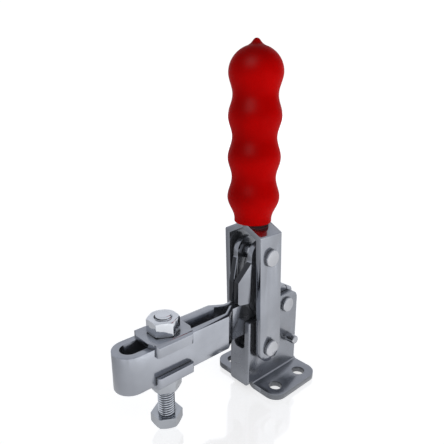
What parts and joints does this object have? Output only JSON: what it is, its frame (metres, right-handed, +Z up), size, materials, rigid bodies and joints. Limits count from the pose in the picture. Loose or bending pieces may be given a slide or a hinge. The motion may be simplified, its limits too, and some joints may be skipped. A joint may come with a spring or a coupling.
{
  "type": "vertical handle toggle clamp",
  "caption": "Over-centre toggle clamp on a flanged base: an upright red grip drives two links and a slotted U-bar arm with an adjustable hex-head spindle.",
  "frame": {"origin": "underside of the base, at the centre of its four mounting holes", "axes": "+X from the base along the closed arm to its tip, +Y to the near handle plate across the arm, +Z up along the closed handle"},
  "size_m": [0.1118, 0.0474, 0.1772],
  "materials": {
    "pressed_steel": "polished sheet steel, plated",
    "rivet_steel": "bright turned steel",
    "zinc_plate": "bright zinc plate",
    "red_grip": "glossy dipped vinyl"
  },
  "bodies": {
    "base": {"base_frame": "pressed_steel", "arm_pivot_pin": "rivet_steel", "handle_pivot_pin": "rivet_steel", "base_spacer": "pressed_steel", "handle_washer_near": "pressed_steel", "handle_washer_far": "pressed_steel", "stop_pin": "pressed_steel"},
    "handle": {"handle_plate_near": "pressed_steel", "handle_plate_far": "pressed_steel", "grip": "red_grip", "link_upper_pin": "rivet_steel", "link_spacer": "pressed_steel", "link_washer_near": "pressed_steel", "link_washer_far": "pressed_steel"},
    "arm": {"clamp_arm": "pressed_steel"},
    "links": {"link_near": "pressed_steel", "link_far": "pressed_steel", "link_lower_pin": "rivet_steel"},
    "carriage": {"flanged_washer_upper": "pressed_steel", "flanged_washer_lower": "pressed_steel"},
    "spindle": {"spindle": "zinc_plate"},
    "nut_upper": {"nut_upper": "zinc_plate"},
    "nut_lower": {"nut_lower": "zinc_plate"}
  },
  "joints": [
    {"name": "handle_swing", "type": "hinge", "parent": "base", "child": "handle", "pos_m": [0.0104, 0, 0.0246], "axis": [0, -1, 0], "range_deg": [0, 66]},
    {"name": "link_swing", "type": "hinge", "parent": "handle", "child": "links", "pos_m": [0.01218, 0, 0.07567], "axis": [0, -1, 0], "range_deg": [0, 60.6]},
    {"name": "arm_swing", "type": "hinge", "parent": "links", "child": "arm", "pos_m": [0.01127, 0, 0.04949], "axis": [0, -1, 0], "range_deg": [-42.5, 0]},
    {"name": "carriage_slide", "type": "slide", "parent": "arm", "child": "carriage", "axis": [1, 0, 0], "range_m": [-0.022, 0.016]},
    {"name": "nut_upper_turn", "type": "hinge", "parent": "carriage", "child": "nut_upper", "pos_m": [0.0687, 0, 0.0558], "axis": [0, 0, 1], "range_deg": [-3745, 1153]},
    {"name": "nut_lower_turn", "type": "hinge", "parent": "carriage", "child": "nut_lower", "pos_m": [0.0687, 0, 0.0274], "axis": [0, 0, 1], "range_deg": [-3745, 1153]},
    {"name": "spindle_height", "type": "slide", "parent": "carriage", "child": "spindle", "axis": [0, 0, 1], "range_m": [-0.004, 0.013]}
  ],
  "couplings": [
    {"joint": "link_swing", "follows": "handle_swing", "ratio": 0.918},
    {"joint": "arm_swing", "follows": "handle_swing", "ratio": -0.6433},
    {"joint": "nut_upper_turn", "follows": "spindle_height", "rad_per_m": -5026.5},
    {"joint": "nut_lower_turn", "follows": "spindle_height", "rad_per_m": -5026.5}
  ]
}
